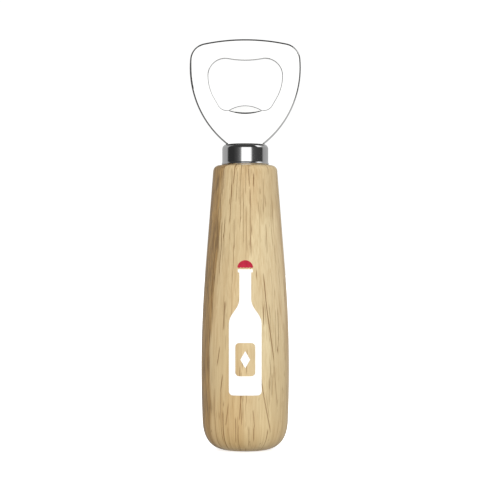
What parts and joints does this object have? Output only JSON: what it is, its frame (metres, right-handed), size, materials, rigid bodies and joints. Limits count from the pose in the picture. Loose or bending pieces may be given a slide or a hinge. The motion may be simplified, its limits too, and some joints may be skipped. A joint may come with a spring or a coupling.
{
  "type": "bottle opener",
  "caption": "Bar bottle opener: flat polished steel head with a rounded opening and a hook tooth, held by a steel ferrule in a turned hardwood handle that swells to a round butt.",
  "frame": {"origin": "centre of the small flat on the butt of the handle", "axes": "+Z along the handle from butt to head, +X across the flat head, -Y the front, which carries the print"},
  "size_m": [0.0444, 0.0351, 0.164],
  "materials": {
    "head_steel": "mirror-polished stainless steel",
    "ferrule_steel": "polished, drawn steel",
    "wood": "pale open-grained hardwood under a satin lacquer",
    "epoxy": "cured amber epoxy",
    "white_ink": "opaque pad-printed ink, satin",
    "red_ink": "opaque pad-printed ink, satin"
  },
  "bodies": {
    "root": {"opener_head": "head_steel", "ferrule": "ferrule_steel", "handle": "wood", "adhesive": "epoxy", "print_bottle": "white_ink", "print_cap": "red_ink"}
  },
  "joints": []
}
